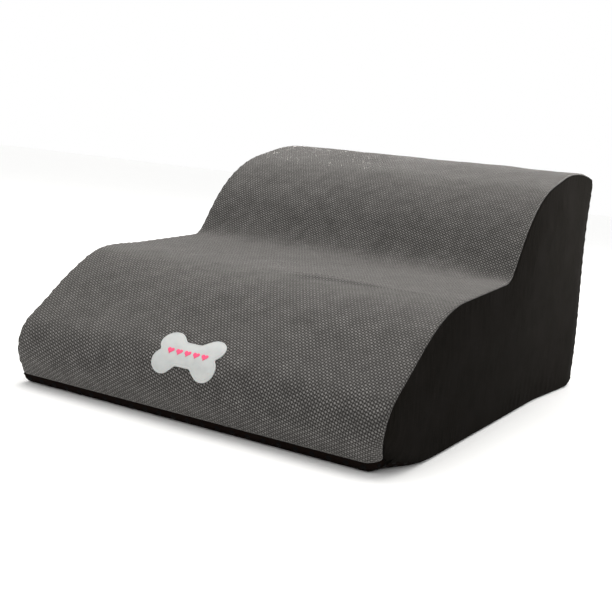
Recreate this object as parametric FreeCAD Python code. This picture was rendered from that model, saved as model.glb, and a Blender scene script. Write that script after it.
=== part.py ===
"""Two-wave foam dog ramp in a zip-off fabric cover, one STEP file per piece.

Frame: millimetres, +Z up, the toe of the ramp faces -Y, +X is to the right of
someone who stands at the toe and looks at the crest. The origin is the middle
of the whole object's box, on the floor.
"""
import FreeCAD
import Part
import math
import os

Vector = FreeCAD.Vector

# ---------------------------------------------------------------- driving sizes
# Cover, outside
cover_width = 400.0
cover_depth = 608.5
cover_height = 275.5

# Side outline, from the toe backwards
toe_undercut = 29.0           # the base starts this far behind the toe's front
toe_height = 50.0
slope_run = 114.5
step_height = 134.5
valley_height = 150.0
riser_run = 60.0
crest_run = 153.0
rear_run = 103.0
shoulder_drop = 40.0          # the riser's shoulder lies this far under the crest
rear_drop = 9.5               # the top falls this much from the crest to the back

# Rounds of the side outline
base_radius = 6.0
toe_radius = 37.0
step_radius = 176.0
valley_radius = 25.0
shoulder_radius = 165.0
crest_radius = 300.0
rear_radius = 14.0
fillet_share = 0.96           # most of an edge that its two rounds may take

# Cloth, thread and the room inside the cover
top_cloth = 1.5
side_cloth = 1.0
back_cloth = 1.0
base_cloth = 1.2
thread = 0.5
cover_ease = 0.8
base_ease = 0.6
liner_cloth = 0.5
liner_ease = 0.3
hem_height = 8.0              # the base cloth is turned up this far
rear_seam_drop = 22.0         # seam of top and back, under the rear corner

# Zip across the back
zip_height = 45.0
zip_end_margin = 25.0
zip_window = 12.0             # gap between the two back panels
chain_gap = 1.0               # between the two coils, where the slider's post runs
coil_width = 2.4
coil_height = 1.8
coil_round = 0.6
tape_cloth = 0.6
tape_width = 13.5
tape_end = 8.0
stop_length = 3.0
stop_extra = 0.3
stitch_inset = 2.5
stitch_proud = 0.3

# Slider and pull
slider_length = 12.0
slider_corner = 3.0
plate = 1.2
inner_plate = 1.0
flange = 0.9
running = 0.3                 # clearance of the slider over tape and coils
plate_clear = 0.2
post_width = 0.6
post_length = 2.4
bridge_length = 9.0
bridge_width = 2.0
bridge_bar = 1.0
pin = 1.0                     # cross-bar of the pull, under the bridge
pin_clear = 0.2
pull_arm = 1.3
pull_gap = 0.4                # beside the bridge
pull_eye = 6.2                # from the pin to where the pull's tongue starts
pull_length = 24.0
pull_hole = 3.0
slider_park = 0.6             # left free at each end of the chain

# Bone patch on the toe and the hearts on it
patch_angle = 43.0            # up from straight ahead, round the toe
patch_x = -4.0                # the patch sits a little to the left
patch_thick = 1.4
patch_lobe = 12.2
patch_lobe_x = 21.9
patch_lobe_z = 10.3
patch_waist = 13.2
patch_reach = 22.0            # depth that the bone outline is cut through
heart_lobe = 1.9
heart_pitch = 9.2
heart_count = 5
print_thick = 0.3

# ---------------------------------------------------------------- worked-out places
slider_back = plate_clear + plate + 2 * pin_clear + pin + bridge_bar
coil_proud = coil_height - back_cloth
rear_proud = coil_proud + slider_back
y_front = -(cover_depth + rear_proud) / 2.0
y_rear = y_front + cover_depth
half_width = cover_width / 2.0
back_ease = tape_cloth + running + inner_plate + running
zip_half = half_width - zip_end_margin
coil_inner = chain_gap / 2.0
coil_outer = coil_inner + coil_width
TOE = 1
CREST = 5
REAR_EDGE = 6
BASE_EDGE = 7


def outline_corners(toe_cut, crest_cut):
    """Corners of the side outline, from its front and the floor, each with its round.

    toe_cut and crest_cut are how far the corners of the toe and the crest stand
    outside their own rounds, so that the rounds end at the cover's real sizes.
    """
    back = cover_depth
    crest = cover_height + crest_cut
    return [
        (toe_undercut - toe_cut, 0.0, base_radius),
        (-toe_cut, toe_height, toe_radius),
        (slope_run - toe_cut, step_height, step_radius),
        (back - rear_run - crest_run - riser_run, valley_height, valley_radius),
        (back - rear_run - crest_run, crest - shoulder_drop, shoulder_radius),
        (back - rear_run, crest, crest_radius),
        (back, crest - rear_drop, rear_radius),
        (back, 0.0, base_radius),
    ]


# ---------------------------------------------------------------- outline of the side
def edge_dir(points, i):
    a = points[i]
    b = points[(i + 1) % len(points)]
    length = math.hypot(b[0] - a[0], b[1] - a[1])
    return (b[0] - a[0]) / length, (b[1] - a[1]) / length, length


def turn_at(points, i):
    """Signed turn at corner i; a clockwise turn, which is convex here, is positive."""
    before = edge_dir(points, i - 1)
    after = edge_dir(points, i)
    cross = before[1] * after[0] - before[0] * after[1]
    dot = before[0] * after[0] + before[1] * after[1]
    return math.atan2(cross, dot)


def limited_radii(corners):
    """Radii of the outline, held to the edges that they stand on."""
    points = [(c[0], c[1]) for c in corners]
    radii = [c[2] for c in corners]
    count = len(points)
    for _ in range(3):
        for i in range(count):
            j = (i + 1) % count
            cut_i = radii[i] * math.tan(abs(turn_at(points, i)) / 2.0)
            cut_j = radii[j] * math.tan(abs(turn_at(points, j)) / 2.0)
            share = fillet_share * edge_dir(points, i)[2] / (cut_i + cut_j)
            if share < 1.0:
                radii[i] *= share
                radii[j] *= share
    return radii


def round_centre(corners, radii, i):
    """Centre of the round at a corner that stands out."""
    points = [(c[0], c[1]) for c in corners]
    before = edge_dir(points, i - 1)
    cut = radii[i] * math.tan(turn_at(points, i) / 2.0)
    y = points[i][0] - before[0] * cut + before[1] * radii[i]
    z = points[i][1] - before[1] * cut - before[0] * radii[i]
    return y, z


def fitted_corners():
    """The outline's corners, moved out until the rounds reach the cover's sizes."""
    plain = outline_corners(0.0, 0.0)
    radii = limited_radii(plain)
    toe_cut = round_centre(plain, radii, TOE)[0] - radii[TOE]
    crest_cut = cover_height - round_centre(plain, radii, CREST)[1] - radii[CREST]
    return outline_corners(toe_cut, crest_cut)


corners = fitted_corners()
outer_radii = limited_radii(corners)
rear_top = corners[REAR_EDGE][1]
rear_seam_z = rear_top - rear_seam_drop


def inset_corners(top_in, rear_in, base_in):
    """Corners and radii of the outline moved inwards by its own amount at each edge."""
    points = [(c[0], c[1]) for c in corners]
    count = len(points)
    inset = [top_in] * count
    inset[REAR_EDGE] = rear_in
    inset[BASE_EDGE] = base_in
    moved = []
    for i in range(count):
        d0 = edge_dir(points, i - 1)
        d1 = edge_dir(points, i)
        in0 = inset[(i - 1) % count]
        in1 = inset[i]
        # lines through the moved edges: direction d, right-hand normal (dz, -dy)
        p0 = (points[i][0] + d0[1] * in0, points[i][1] - d0[0] * in0)
        p1 = (points[i][0] + d1[1] * in1, points[i][1] - d1[0] * in1)
        cross = d0[0] * d1[1] - d0[1] * d1[0]
        along = ((p1[0] - p0[0]) * d1[1] - (p1[1] - p0[1]) * d1[0]) / cross
        radius = outer_radii[i]
        if turn_at(points, i) > 0:
            radius = max(radius - max(in0, in1), 0.5)
        else:
            radius = radius + max(in0, in1)
        moved.append((p0[0] + d0[0] * along, p0[1] + d0[1] * along, radius))
    return moved


def outline_face(top_in=0.0, rear_in=0.0, base_in=0.0):
    moved = inset_corners(top_in, rear_in, base_in)
    points = [(m[0], m[1]) for m in moved]
    count = len(points)

    def at(y, z):
        return Vector(0, y_front + y, z)

    starts = []
    ends = []
    mids = []
    for i in range(count):
        y, z, radius = moved[i]
        d0 = edge_dir(points, i - 1)
        d1 = edge_dir(points, i)
        turn = turn_at(points, i)
        cut = radius * math.tan(abs(turn) / 2.0)
        starts.append((y - d0[0] * cut, z - d0[1] * cut))
        ends.append((y + d1[0] * cut, z + d1[1] * cut))
        to_mid = radius / math.cos(turn / 2.0) - radius
        half = ((d1[0] - d0[0]), (d1[1] - d0[1]))
        size = math.hypot(half[0], half[1])
        mids.append((y + half[0] / size * to_mid, z + half[1] / size * to_mid))
    edges = []
    for i in range(count):
        j = (i + 1) % count
        edges.append(Part.Arc(at(*starts[i]), at(*mids[i]), at(*ends[i])).toShape())
        edges.append(Part.LineSegment(at(*ends[i]), at(*starts[j])).toShape())
    return Part.Face(Part.Wire(edges))


def slab(face, x_low, x_high):
    """The side outline as a solid between two places across the width."""
    placed = face.copy()
    placed.translate(Vector(x_low, 0, 0))
    return placed.extrude(Vector(x_high - x_low, 0, 0))


def block(x, y, z):
    """A box from its low and high places along each axis."""
    return Part.makeBox(x[1] - x[0], y[1] - y[0], z[1] - z[0], Vector(x[0], y[0], z[0]))


def save(name, shape):
    shape.exportStep(os.path.join("parts", name + ".step"))


def group(shapes):
    return Part.makeCompound(shapes)


# ---------------------------------------------------------------- cover panels
FAR = 2000.0
panel_half = half_width - side_cloth
outer_face = outline_face()
under_face = outline_face(top_cloth, back_cloth, base_cloth)


def cover_band():
    """Every cloth panel between the two sides, still in one piece."""
    return slab(outer_face, -panel_half, panel_half).cut(slab(under_face, -FAR, FAR))


def make_panels():
    band = cover_band()
    wide = (-FAR, FAR)
    back_zone = (y_rear - rear_seam_drop / 2.0, FAR)
    above = band.common(block(wide, wide, (hem_height, FAR)))
    back = block(wide, back_zone, (-FAR, rear_seam_z))
    upper_z = zip_height + zip_window / 2.0
    lower_z = zip_height - zip_window / 2.0
    sole = slab(outer_face, -half_width, half_width).common(block(wide, wide, (-FAR, base_cloth)))
    turned_up = band.common(block(wide, wide, (-FAR, hem_height)))
    save("bottom_panel", sole.fuse(turned_up).removeSplitter())
    save("top_panel", above.cut(back))
    save("back_panel_upper", above.common(block(wide, back_zone, (upper_z, rear_seam_z))))
    save("back_panel_lower", above.common(block(wide, back_zone, (-FAR, lower_z))))
    standing = block(wide, wide, (base_cloth, FAR))
    save("side_panel_right", slab(outer_face, panel_half, half_width).common(standing))
    save("side_panel_left", slab(outer_face, -half_width, -panel_half).common(standing))


def make_seam_threads():
    """One strand inside each seam, against both of the panels that it joins."""
    inner_face = outline_face(top_cloth + thread, back_cloth + thread, base_cloth + thread)
    side_in = panel_half - thread
    loop = slab(under_face, side_in, panel_half).cut(slab(inner_face, -FAR, FAR))
    save("seam_thread_right", loop)
    loop = slab(under_face, -panel_half, -side_in).cut(slab(inner_face, -FAR, FAR))
    save("seam_thread_left", loop)
    strands = slab(under_face, -side_in, side_in).cut(slab(inner_face, -FAR, FAR))
    front = (-FAR, y_front + slope_run)
    rear = (y_rear - rear_seam_drop / 2.0, FAR)
    for name, along_y, height in (
        ("seam_thread_front", front, hem_height),
        ("seam_thread_rear", rear, rear_seam_z),
        ("seam_thread_base", rear, hem_height),
    ):
        level = (height - thread / 2.0, height + thread / 2.0)
        save(name, strands.common(block((-FAR, FAR), along_y, level)))


def make_filling():
    """Liner bag and the foam block in it."""
    side_in = side_cloth + cover_ease
    liner_out = (top_cloth + cover_ease, back_cloth + back_ease, base_cloth + base_ease)
    liner_in = [v + liner_cloth for v in liner_out]
    foam_out = [v + liner_ease for v in liner_in]
    liner_half = half_width - side_in
    bag = slab(outline_face(*liner_out), -liner_half, liner_half)
    room_half = liner_half - liner_cloth
    save("inner_liner", bag.cut(slab(outline_face(*liner_in), -room_half, room_half)))
    foam_half = room_half - liner_ease
    save("foam_core", slab(outline_face(*foam_out), -foam_half, foam_half))


# ---------------------------------------------------------------- zip
tape_face = y_rear - back_cloth           # outer face of the tapes, inner face of the back


def make_tapes_and_coils():
    for side, sign in (("upper", 1), ("lower", -1)):
        tape_z = sorted((zip_height + sign * coil_inner, zip_height + sign * tape_width))
        tape_x = (-zip_half - tape_end, zip_half + tape_end)
        save("zip_tape_" + side, block(tape_x, (tape_face - tape_cloth, tape_face), tape_z))
        coil_z = sorted((zip_height + sign * coil_inner, zip_height + sign * coil_outer))
        coil = block((-zip_half, zip_half), (tape_face, tape_face + coil_height), coil_z)
        tops = []
        for edge in coil.Edges:
            box = edge.BoundBox
            if box.XLength > zip_half and box.YMin > tape_face + coil_height / 2.0:
                tops.append(edge)
        save("zip_coil_" + side, coil.makeFillet(coil_round, tops))
        row = zip_height + sign * (zip_window / 2.0 + stitch_inset)
        level = (row - thread / 2.0, row + thread / 2.0)
        stitch = block((-zip_half, zip_half), (y_rear, y_rear + stitch_proud), level)
        save("zip_stitching_" + side, stitch)


def make_stops():
    across = (tape_face, tape_face + coil_height + stop_extra)
    closed_end = (zip_half, zip_half + stop_length)
    open_end = (-zip_half - stop_length, -zip_half)
    reach = coil_outer + stop_extra
    pair = []
    for sign in (1, -1):
        level = sorted((zip_height + sign * coil_inner, zip_height + sign * reach))
        pair.append(block(closed_end, across, level))
    save("zip_top_stops", group(pair))
    bar = block(open_end, across, (zip_height - reach, zip_height + reach))
    save("zip_bottom_stop", bar)


slider_half_z = coil_outer + running + flange
slider_x = zip_half - slider_park - slider_length / 2.0
plate_y = tape_face + coil_height + plate_clear
pin_y = plate_y + plate + pin_clear + pin / 2.0
slider_travel = 2 * zip_half - 2 * slider_park - slider_length


def slider_plate(low, high):
    body = block(
        (slider_x - slider_length / 2.0, slider_x + slider_length / 2.0),
        (low, high),
        (zip_height - slider_half_z, zip_height + slider_half_z),
    )
    upright = [e for e in body.Edges if e.BoundBox.YLength > (high - low) / 2.0]
    return body.makeFillet(slider_corner, upright)


def make_slider():
    outer = slider_plate(plate_y, plate_y + plate)
    low_face = tape_face - tape_cloth - running
    inner = slider_plate(low_face - inner_plate, low_face)
    walls = slider_plate(tape_face + running, plate_y)
    channel_half = coil_outer + running
    channel = block((-FAR, FAR), (-FAR, FAR), (zip_height - channel_half, zip_height + channel_half))
    walls = walls.cut(channel)
    post_x = slider_x + slider_length / 2.0 - slider_corner
    post = block(
        (post_x - post_length, post_x),
        (low_face, plate_y),
        (zip_height - post_width / 2.0, zip_height + post_width / 2.0),
    )
    bridge_low = pin_y + pin / 2.0 + pin_clear
    bridge = block(
        (slider_x - bridge_length / 2.0, slider_x + bridge_length / 2.0),
        (plate_y + plate, bridge_low + bridge_bar),
        (zip_height - bridge_width / 2.0, zip_height + bridge_width / 2.0),
    )
    tunnel = block(
        (slider_x - bridge_length / 2.0 + bridge_bar, slider_x + bridge_length / 2.0 - bridge_bar),
        (plate_y, bridge_low),
        (-FAR, FAR),
    )
    arch = bridge.cut(tunnel)
    body = outer.fuse([inner, walls, post, arch])
    save("zip_slider", body.removeSplitter())


def make_pull():
    """Flat tongue on two arms, with the pin that turns under the slider's bridge."""
    arm_in = bridge_width / 2.0 + pull_gap
    arm_out = arm_in + pull_arm
    low = pin_y - pin / 2.0
    high = pin_y + pin / 2.0
    tip = slider_x + pull_length
    tongue = block((slider_x, tip), (low, high), (zip_height - arm_out, zip_height + arm_out))
    ends = [
        e for e in tongue.Edges
        if e.BoundBox.YLength > pin / 2.0 and e.BoundBox.XMin > slider_x + pull_length / 2.0
    ]
    tongue = tongue.makeFillet(arm_out * 0.9, ends)
    eye = block((slider_x - 1.0, slider_x + pull_eye), (-FAR, FAR), (zip_height - arm_in, zip_height + arm_in))
    tongue = tongue.cut(eye)
    hole_x = tip - arm_out
    along_y = Vector(0, 1, 0)
    hole = Part.makeCylinder(pull_hole / 2.0, 4 * pin, Vector(hole_x, low - pin, zip_height), along_y)
    tongue = tongue.cut(hole)
    ends_up = Vector(0, 0, 1)
    rod_low = Vector(slider_x, pin_y, zip_height - arm_out)
    rod = Part.makeCylinder(pin / 2.0, 2 * arm_out, rod_low, ends_up)
    save("zip_pull", tongue.fuse(rod).removeSplitter())


# ---------------------------------------------------------------- patch on the toe
def aimed(shape):
    """A prism drawn flat, stood on the toe's round along the patch's own direction."""
    centre_y, centre_z = round_centre(corners, outer_radii, TOE)
    shape.translate(Vector(patch_x, 0, outer_radii[TOE] - patch_reach))
    shape.rotate(Vector(0, 0, 0), Vector(1, 0, 0), 90.0 - patch_angle)
    shape.translate(Vector(0, y_front + centre_y, centre_z))
    return shape


def disc(x, y, radius, depth):
    return Part.makeCylinder(radius, depth, Vector(x, y, 0))


def bone_prism(depth):
    waist = Part.makeBox(2 * patch_lobe_x, 2 * patch_waist, depth, Vector(-patch_lobe_x, -patch_waist, 0))
    lobes = []
    for x in (-patch_lobe_x, patch_lobe_x):
        for y in (-patch_lobe_z, patch_lobe_z):
            lobes.append(disc(x, y, patch_lobe, depth))
    return waist.fuse(lobes).removeSplitter()


def heart_prism(x, depth):
    """Two discs and the kite that runs from them, tangent, to the tip."""
    lean = math.sqrt(0.5) * heart_lobe
    apart = 0.85 * heart_lobe
    wide = apart + lean
    kite = [(-wide, -lean), (0, -lean - wide), (wide, -lean), (0, wide - lean)]
    ring = [Vector(x + p[0], p[1], 0) for p in kite]
    ring.append(ring[0])
    tip = Part.Face(Part.makePolygon(ring)).extrude(Vector(0, 0, depth))
    return tip.fuse([disc(x - apart, 0, heart_lobe, depth), disc(x + apart, 0, heart_lobe, depth)])


def make_patch():
    depth = 2 * patch_reach
    patch_face = outline_face(-patch_thick)
    print_face = outline_face(-patch_thick - print_thick)
    span = patch_lobe_x + 2 * patch_lobe + abs(patch_x)
    skin = slab(patch_face, -span, span).cut(slab(outer_face, -FAR, FAR))
    save("bone_patch", skin.common(aimed(bone_prism(depth))))
    ink = slab(print_face, -span, span).cut(slab(patch_face, -FAR, FAR))
    first = -heart_pitch * (heart_count - 1) / 2.0
    hearts = []
    for i in range(heart_count):
        heart = aimed(heart_prism(first + i * heart_pitch, depth))
        hearts.append(ink.common(heart))
    save("patch_print", group(hearts))


os.makedirs("parts", exist_ok=True)
make_panels()
make_seam_threads()
make_filling()
make_tapes_and_coils()
make_stops()
make_slider()
make_pull()
make_patch()
print("slide travel", round(slider_travel, 3), "hinge at", round(slider_x, 3), round(pin_y, 3), zip_height)
print("zip mid", round(y_rear, 3), "front", round(y_front, 3))
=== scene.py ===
"""A dog ramp with two cushioned levels: foam wedge in a liner, and a sewn cover with a zip at the back."""

import math

import bmesh
import bpy
import numpy as np
from mathutils import Matrix, Vector


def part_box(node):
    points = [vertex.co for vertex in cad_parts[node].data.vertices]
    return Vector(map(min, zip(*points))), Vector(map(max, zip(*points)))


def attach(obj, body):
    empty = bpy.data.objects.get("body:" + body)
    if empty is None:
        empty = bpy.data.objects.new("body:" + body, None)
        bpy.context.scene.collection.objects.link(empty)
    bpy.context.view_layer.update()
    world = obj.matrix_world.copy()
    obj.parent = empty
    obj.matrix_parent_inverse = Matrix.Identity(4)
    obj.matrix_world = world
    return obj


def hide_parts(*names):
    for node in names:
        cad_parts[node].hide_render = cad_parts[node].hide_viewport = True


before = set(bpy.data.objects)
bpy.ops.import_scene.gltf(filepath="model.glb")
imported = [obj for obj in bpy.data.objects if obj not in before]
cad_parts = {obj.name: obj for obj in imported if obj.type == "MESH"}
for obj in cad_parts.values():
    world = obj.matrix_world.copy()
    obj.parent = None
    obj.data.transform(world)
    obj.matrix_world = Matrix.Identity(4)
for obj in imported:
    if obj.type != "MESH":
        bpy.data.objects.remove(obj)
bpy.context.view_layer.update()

MM = 0.001
TURN = 2 * math.pi

# Cover, in millimetres: x is across the ramp, u along the cloth from the front hem, s the same from the floor.
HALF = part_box("side_panel_right")[1].x / MM         # half the cover's width
SEAM_IN = 1.0                                       # the side seam sits this far in on the top
SEAM_X = HALF - SEAM_IN
WRAP = 2.0                                          # the base cloth turns this far up the sides
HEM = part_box("top_panel")[0].z / MM                 # height of the front and rear hem seams
REAR_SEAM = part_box("seam_thread_rear")[1].z / MM    # height of the seam between top and back
WINDOW_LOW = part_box("back_panel_lower")[1].z / MM   # the zip's window in the back
WINDOW_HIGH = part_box("back_panel_upper")[0].z / MM
ZIP_HEIGHT = (WINDOW_LOW + WINDOW_HIGH) / 2
FRONT_CURL, REAR_CURL = 2.9, 6.1                    # below these heights the side panel curls in under the ramp
CLOTH = 1.1                                         # thickness of the top's cloth
BLACK_CLOTH = 1.0
BASE_CLOTH = 0.9
LINER_INSET = 2.4                                   # from the cover's face in to the liner's
LINER_CLOTH = 0.4
FOAM_INSET = 3.4
CORNER_SPREAD, CREST_SPREAD = 3.5, 1.6              # spread of the outline's rounding in general and at the crest
EDGE_ROUND = 4.0                                    # the foam's edges under cloth
TOE_CORNER = 28.0                                   # softer still at the right front corner
TOE_CORNER_REACH = 42.0
HEEL_ROUND = 9.0                                    # spread of the heel's rounding in the outline
HEEL_REACH, CREST_REACH = 32, 18                    # how far round the heel and the crest their own rounding holds
HEEL_FLARE = 9.0                                    # the sides spread this far at the foot of the heel
REAR_LIFT = 3.5                                     # stuffing fills the crest out towards its rear seam,
LIFT_FROM, LIFT_OVER = (205, 170), (80, 70)         # from this y and z, over this far
STEP_LIFT, STEP_CROWN = 2.4, 2.6                    # the left edge stands higher over the lower step
BRIDGE = 3.2                                        # cloth spans the inner corner this far off the foam
BRIDGE_REACH = 17.0
SIDE_BULGE = 4.0                                    # the sides belly out this far
GROOVE = 1.1                                        # depth of the sewn seams
GROOVE_WIDTH = 1.6
GRIP_PITCH = 16.0                                   # grip dots on the base, in staggered rows
GRIP_HEIGHT = 0.9


def ease(t):
    t = np.clip(t, 0, 1)
    return t * t * (3 - 2 * t)


def hump(t):
    """1 at t = 0, fading to 0 by about 2 either way."""
    return np.exp(-np.square(t))


# ---------------------------------------------------------------- outline
def cad_outline():
    """The side's outline in millimetres as (y, z), from the front base up over the steps to the rear base."""
    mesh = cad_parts["side_panel_right"].data
    rim_x = (HALF - 0.02) * MM
    beside = {}
    for face in mesh.polygons:
        if abs(face.normal.x) > 0.5:
            continue
        ends = [mesh.vertices[i].co for i in face.vertices]
        rim = {(round(v.y / MM, 3), round(v.z / MM, 3)) for v in ends if v.x > rim_x}
        if len(rim) == 2:
            one, other = rim
            beside.setdefault(one, set()).add(other)
            beside.setdefault(other, set()).add(one)
    start = min(beside, key=lambda p: (p[1] > 1.5, p[0]))
    ring, last = [start], None
    while True:
        following = [p for p in sorted(beside[ring[-1]]) if p != last and p != start]
        last = ring[-1]
        if len(ring) == 1:
            following = sorted(following, key=lambda p: -p[1])
        if not following:
            break
        ring.append(following[0])
    ring = np.array(ring)
    middle = ring[:, 0].mean()
    kept = ring[ring[:, 1] > np.where(ring[:, 0] < middle, FRONT_CURL, REAR_CURL)]
    if kept[0, 0] > kept[-1, 0]:
        kept = kept[::-1]
    lean = (kept[1] - kept[0]) / (kept[1, 1] - kept[0, 1])
    foot = kept[0] - lean * kept[0, 1]
    heel = np.array([kept[-1, 0], 0.0])
    at_rear = ease((kept - LIFT_FROM) / LIFT_OVER)
    kept[:, 1] += REAR_LIFT * at_rear[:, 0] * at_rear[:, 1]
    return np.vstack([foot, kept, heel])


def evened(points, step):
    """The same line with points a step apart."""
    along = np.concatenate([[0], np.cumsum(np.hypot(*np.diff(points, axis=0).T))])
    at = np.linspace(0, along[-1], int(round(along[-1] / step)) + 1)
    return np.stack([np.interp(at, along, points[:, k]) for k in (0, 1)], 1)


def ring_smoothed(points, spread):
    """A closed line with its corners eased over about a spread, in steps."""
    reach = int(4 * spread)
    weights = np.exp(-0.5 * (np.arange(-reach, reach + 1) / spread) ** 2)
    weights /= weights.sum()
    looped = np.vstack([points[-reach:], points, points[:reach]])
    return np.stack([np.convolve(looped[:, k], weights, "valid") for k in (0, 1)], 1)


def outward(points, closed):
    around = np.vstack([points[-1:], points, points[:1]]) if closed else points
    run = np.gradient(around, axis=0)
    run = run[1:-1] if closed else run
    run /= np.hypot(*run.T)[:, None]
    return np.stack([-run[:, 1], run[:, 0]], 1)


OPEN = evened(cad_outline(), 1.0)
OPEN_OUT = outward(OPEN, False)
FRONT_FOOT, REAR_FOOT = OPEN[0], OPEN[-1]
floor_line = evened(np.array([REAR_FOOT, FRONT_FOOT]), 1.0)
RING = np.vstack([OPEN[:-1], floor_line[:-1]])
at_heel = hump(np.hypot(*(RING - REAR_FOOT).T) / HEEL_REACH)[:, None]
at_crest = hump(np.hypot(*(RING - OPEN[OPEN.sum(1).argmax()]).T) / CREST_REACH)[:, None]
RING = (ring_smoothed(RING, CORNER_SPREAD) * (1 - at_heel - at_crest)
        + ring_smoothed(RING, HEEL_ROUND) * at_heel + ring_smoothed(RING, CREST_SPREAD) * at_crest)
rise = np.flatnonzero(RING[: len(OPEN) // 4, 1] > HEM)[0]
RING = np.roll(RING, -rise, axis=0)
RING_OUT = outward(RING, True)
RING_AT = np.concatenate([[0], np.cumsum(np.hypot(*np.diff(np.vstack([RING, RING[:1]]), axis=0).T))])
AROUND = RING_AT[-1]
REAR_HEM = RING_AT[np.flatnonzero((RING[:, 1] > HEM) & (RING[:, 0] > 0))[-1]]
REAR_TOP = RING_AT[np.flatnonzero((RING[:, 1] > REAR_SEAM) & (RING[:, 0] > 0))[-1]]
bending = np.gradient(np.unwrap(np.arctan2(RING_OUT[:, 1], RING_OUT[:, 0])))
INNER_CORNER = RING_AT[bending[RING_AT[:-1] < REAR_TOP - 60].argmax()]     # where the tread meets the riser


def ring_at(u, inset=0.0):
    """(y, z) at a distance u along the ring from the front hem, moved in by inset."""
    u = np.asarray(u, float) % AROUND
    shut = [np.vstack([a, a[:1]]) for a in (RING, RING_OUT)]
    y, z, out_y, out_z = (np.interp(u, RING_AT, a[:, k]) for a in shut for k in (0, 1))
    return y - out_y * inset, z - out_z * inset


def depth_under(y, z, line=RING, out=RING_OUT):
    """How deep points lie under a line of the outline, and the way out to it."""
    depth, way = np.empty(len(y)), np.empty((len(y), 2))
    for k in range(0, len(y), 4096):
        here = np.stack([y[k:k + 4096], z[k:k + 4096]], 1)
        near = (np.square(line[::2]).sum(1) - 2 * here @ line[::2].T).argmin(1) * 2
        way[k:k + 4096] = out[near]
        depth[k:k + 4096] = ((line[near] - here) * out[near]).sum(1)
    return np.maximum(depth, 0), way


def soften(points):
    """The sharp shape turned to stuffed cloth: edges rounded over, most at the right front corner, the sides bellied
    and flared at the heel, and the left edge lifted over the lower step. Each ease() comes in over as many
    millimetres as it divides by."""
    x, y, z = points.reshape(-1, 3).T
    side = np.sign(x)
    aside = np.maximum(HALF - abs(x), 0)
    depth, way = depth_under(y, z)
    open_depth = depth_under(y, z, OPEN, OPEN_OUT)[0]
    to_toe = np.sqrt(aside ** 2 + (y - FRONT_FOOT[0]) ** 2 + z ** 2)
    radius = EDGE_ROUND + TOE_CORNER * hump(to_toe / TOE_CORNER_REACH) * (x > 0)
    near = np.clip(1 - np.stack([aside, depth]) / radius, 0, 1)
    size = np.sqrt(np.square(near).sum(0))
    move = radius * near * (1 - near.max(0) / np.maximum(size, 1e-6))
    belly = SIDE_BULGE * ease(open_depth / 45) * ease((abs(x) - HALF + 60) / 60)
    flare = HEEL_FLARE * ease((y - 110) / 180) * ease((230 - z) / 210) * ease((abs(x) - HALF + 25) / 25)
    over_step = STEP_LIFT * ease((y + 285) / 45) * ease((-130 - y) / 60) + STEP_CROWN * hump((y + 200) / 22)
    lift = over_step * ease((-x - 105) / 85) * ease(1 - open_depth / 70)
    x = x + side * (belly + flare - move[0])
    y = y + way[:, 0] * (lift - move[1])
    z = z + way[:, 1] * (lift - move[1])
    return np.stack([x, y, z], 1).reshape(points.shape)


# ---------------------------------------------------------------- cloth meshes
def grid_normals(grid):
    across = np.gradient(grid, axis=0)
    along = np.gradient(grid, axis=1)
    normal = np.cross(across, along)
    return normal / np.maximum(np.linalg.norm(normal, axis=2), 1e-9)[..., None]


def quads(rows, columns, first=0, flip=False):
    """Faces of a grid whose vertices are numbered row by row."""
    at = first + np.arange(rows * columns).reshape(rows, columns)
    faces = np.stack([at[:-1, :-1], at[1:, :-1], at[1:, 1:], at[:-1, 1:]], -1).reshape(-1, 4)
    return faces[:, ::-1] if flip else faces


def finish_mesh(name, points, faces, material):
    """A smooth mesh object, riding on the ramp, from points in millimetres."""
    mesh = bpy.data.meshes.new(name)
    mesh.from_pydata((points * MM).tolist(), [], faces)
    mesh.polygons.foreach_set("use_smooth", np.ones(len(mesh.polygons), bool))
    mesh.materials.append(material)
    piece = bpy.data.objects.new(name, mesh)
    bpy.context.scene.collection.objects.link(piece)
    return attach(piece, "ramp")


def cloth_shell(name, grid, cloth, thick, material):
    """A closed sheet of cloth: the grid is its outer face, thick its thickness inwards, and cloth each point's
    place on the flat cloth, kept as a map in metres."""
    rows, columns = grid.shape[:2]
    count = rows * columns
    inner = grid - grid_normals(grid) * thick
    at = np.arange(count).reshape(rows, columns)
    edge = np.concatenate([at[:-1, 0], at[-1, :-1], at[:0:-1, -1], at[0, :0:-1]])
    onward = np.roll(edge, -1)
    rim = np.stack([edge, edge + count, onward + count, onward], 1)
    faces = np.vstack([quads(rows, columns), quads(rows, columns, count, True), rim])
    points = np.vstack([grid.reshape(-1, 3), inner.reshape(-1, 3)])
    piece = finish_mesh(name, points, faces.tolist(), material)
    corners = np.empty(len(piece.data.loops), np.int32)
    piece.data.loops.foreach_get("vertex_index", corners)
    layer = piece.data.uv_layers.new(name="cloth")
    across = np.tile(cloth.reshape(-1, 2), (2, 1))[corners] * MM
    layer.uv.foreach_set("vector", across.astype(np.float32).ravel())
    return piece


def tube(centres, sides, radius, lean):
    """Points and faces of a closed tube along centres, narrowed at both ends; lean is a way it never runs."""
    run = np.gradient(centres, axis=0)
    one = np.cross(run, lean)
    one /= np.linalg.norm(one, axis=1)[:, None]
    two = np.cross(run, one)
    two /= np.linalg.norm(two, axis=1)[:, None]
    swell = np.ones(len(centres)) * radius
    swell[[0, -1]] *= 0.35
    turn = np.arange(sides) * TURN / sides
    ring = one[:, None] * np.cos(turn)[None, :, None] + two[:, None] * np.sin(turn)[None, :, None]
    points = centres[:, None] + ring * swell[:, None, None]
    at = np.arange(len(centres) * sides).reshape(len(centres), sides)
    onward = np.roll(at, -1, axis=1)
    walls = np.stack([at[:-1], onward[:-1], onward[1:], at[1:]], -1).reshape(-1, 4).tolist()
    return points.reshape(-1, 3), walls + [at[0, ::-1].tolist(), at[-1].tolist()]


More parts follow.
